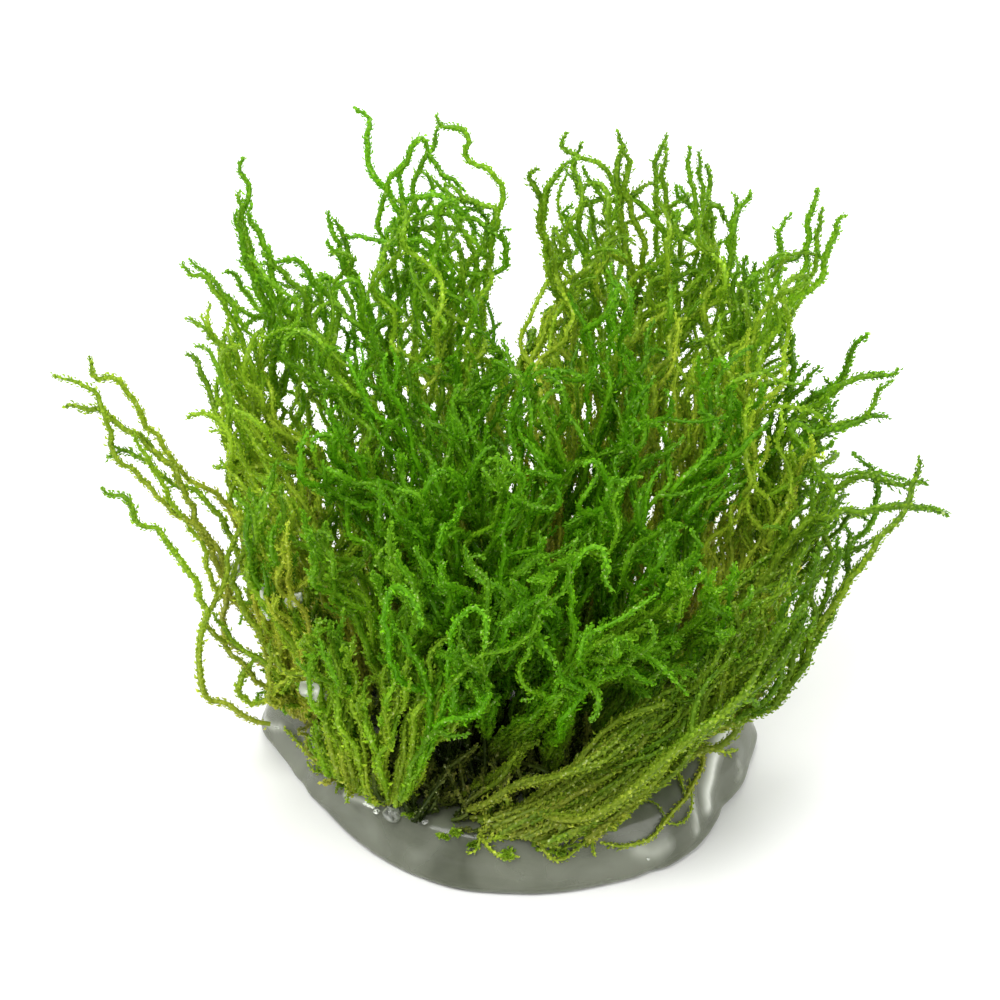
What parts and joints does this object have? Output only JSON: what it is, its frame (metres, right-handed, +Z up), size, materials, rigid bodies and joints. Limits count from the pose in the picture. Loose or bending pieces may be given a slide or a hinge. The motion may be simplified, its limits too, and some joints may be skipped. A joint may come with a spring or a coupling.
{
  "type": "flame moss on a gel pad",
  "caption": "Upright clump of aquarium moss, wavy shoots fanning out like flames from a flat pad of clear culture gel.",
  "frame": {"origin": "middle of the gel pad's flat underside", "axes": "+Z up, +Y towards the back of the clump where the shoots are tallest, +X to the right seen from the front"},
  "size_m": [0.1011, 0.0752, 0.0696],
  "materials": {
    "gel": "glossy clear gel",
    "green_moss": "fine leaves, damp",
    "olive_moss": "fine leaves, damp"
  },
  "bodies": {
    "root": {"back_left_lock_1": "green_moss", "back_left_lock_2": "green_moss", "back_left_lock_3": "green_moss", "back_left_lock_4": "green_moss", "back_left_lock_5": "green_moss", "back_lock_1": "green_moss", "back_lock_2": "green_moss", "back_lock_3": "green_moss", "back_lock_4": "green_moss", "back_right_lock_1": "green_moss", "back_right_lock_2": "green_moss", "back_right_lock_3": "green_moss", "back_right_lock_4": "green_moss", "back_right_lock_5": "green_moss", "crown_lock_1": "green_moss", "crown_lock_10": "green_moss", "crown_lock_11": "green_moss", "crown_lock_2": "green_moss", "crown_lock_3": "green_moss", "crown_lock_4": "green_moss", "crown_lock_5": "green_moss", "crown_lock_6": "green_moss", "crown_lock_7": "green_moss", "crown_lock_8": "green_moss", "crown_lock_9": "green_moss", "far_left_lock_1": "green_moss", "far_left_lock_2": "green_moss", "far_left_lock_3": "green_moss", "front_left_lock_1": "green_moss", "front_left_lock_2": "green_moss", "front_left_lock_3": "green_moss", "front_left_lock_4": "green_moss", "front_lock_1": "green_moss", "front_lock_2": "green_moss", "front_lock_3": "green_moss", "front_lock_4": "green_moss", "front_right_lock_1": "green_moss", "front_right_lock_2": "green_moss", "front_right_lock_3": "green_moss", "gel_pad": "gel", "hanging_shoot": "olive_moss", "left_back_lock_1": "green_moss", "left_back_lock_2": "green_moss", "left_back_lock_3": "green_moss", "left_lock_1": "olive_moss", "left_lock_2": "olive_moss", "left_lock_3": "olive_moss", "right_back_lock_1": "green_moss", "right_back_lock_2": "green_moss", "right_back_lock_3": "green_moss", "right_back_lock_4": "green_moss", "right_lock_1": "green_moss", "right_lock_2": "green_moss", "right_lock_3": "green_moss", "right_lock_4": "green_moss", "sweep_lock_1": "olive_moss", "sweep_lock_2": "olive_moss", "sweep_lock_3": "olive_moss", "sweep_lock_4": "olive_moss", "sweep_lock_5": "olive_moss"}
  },
  "joints": []
}
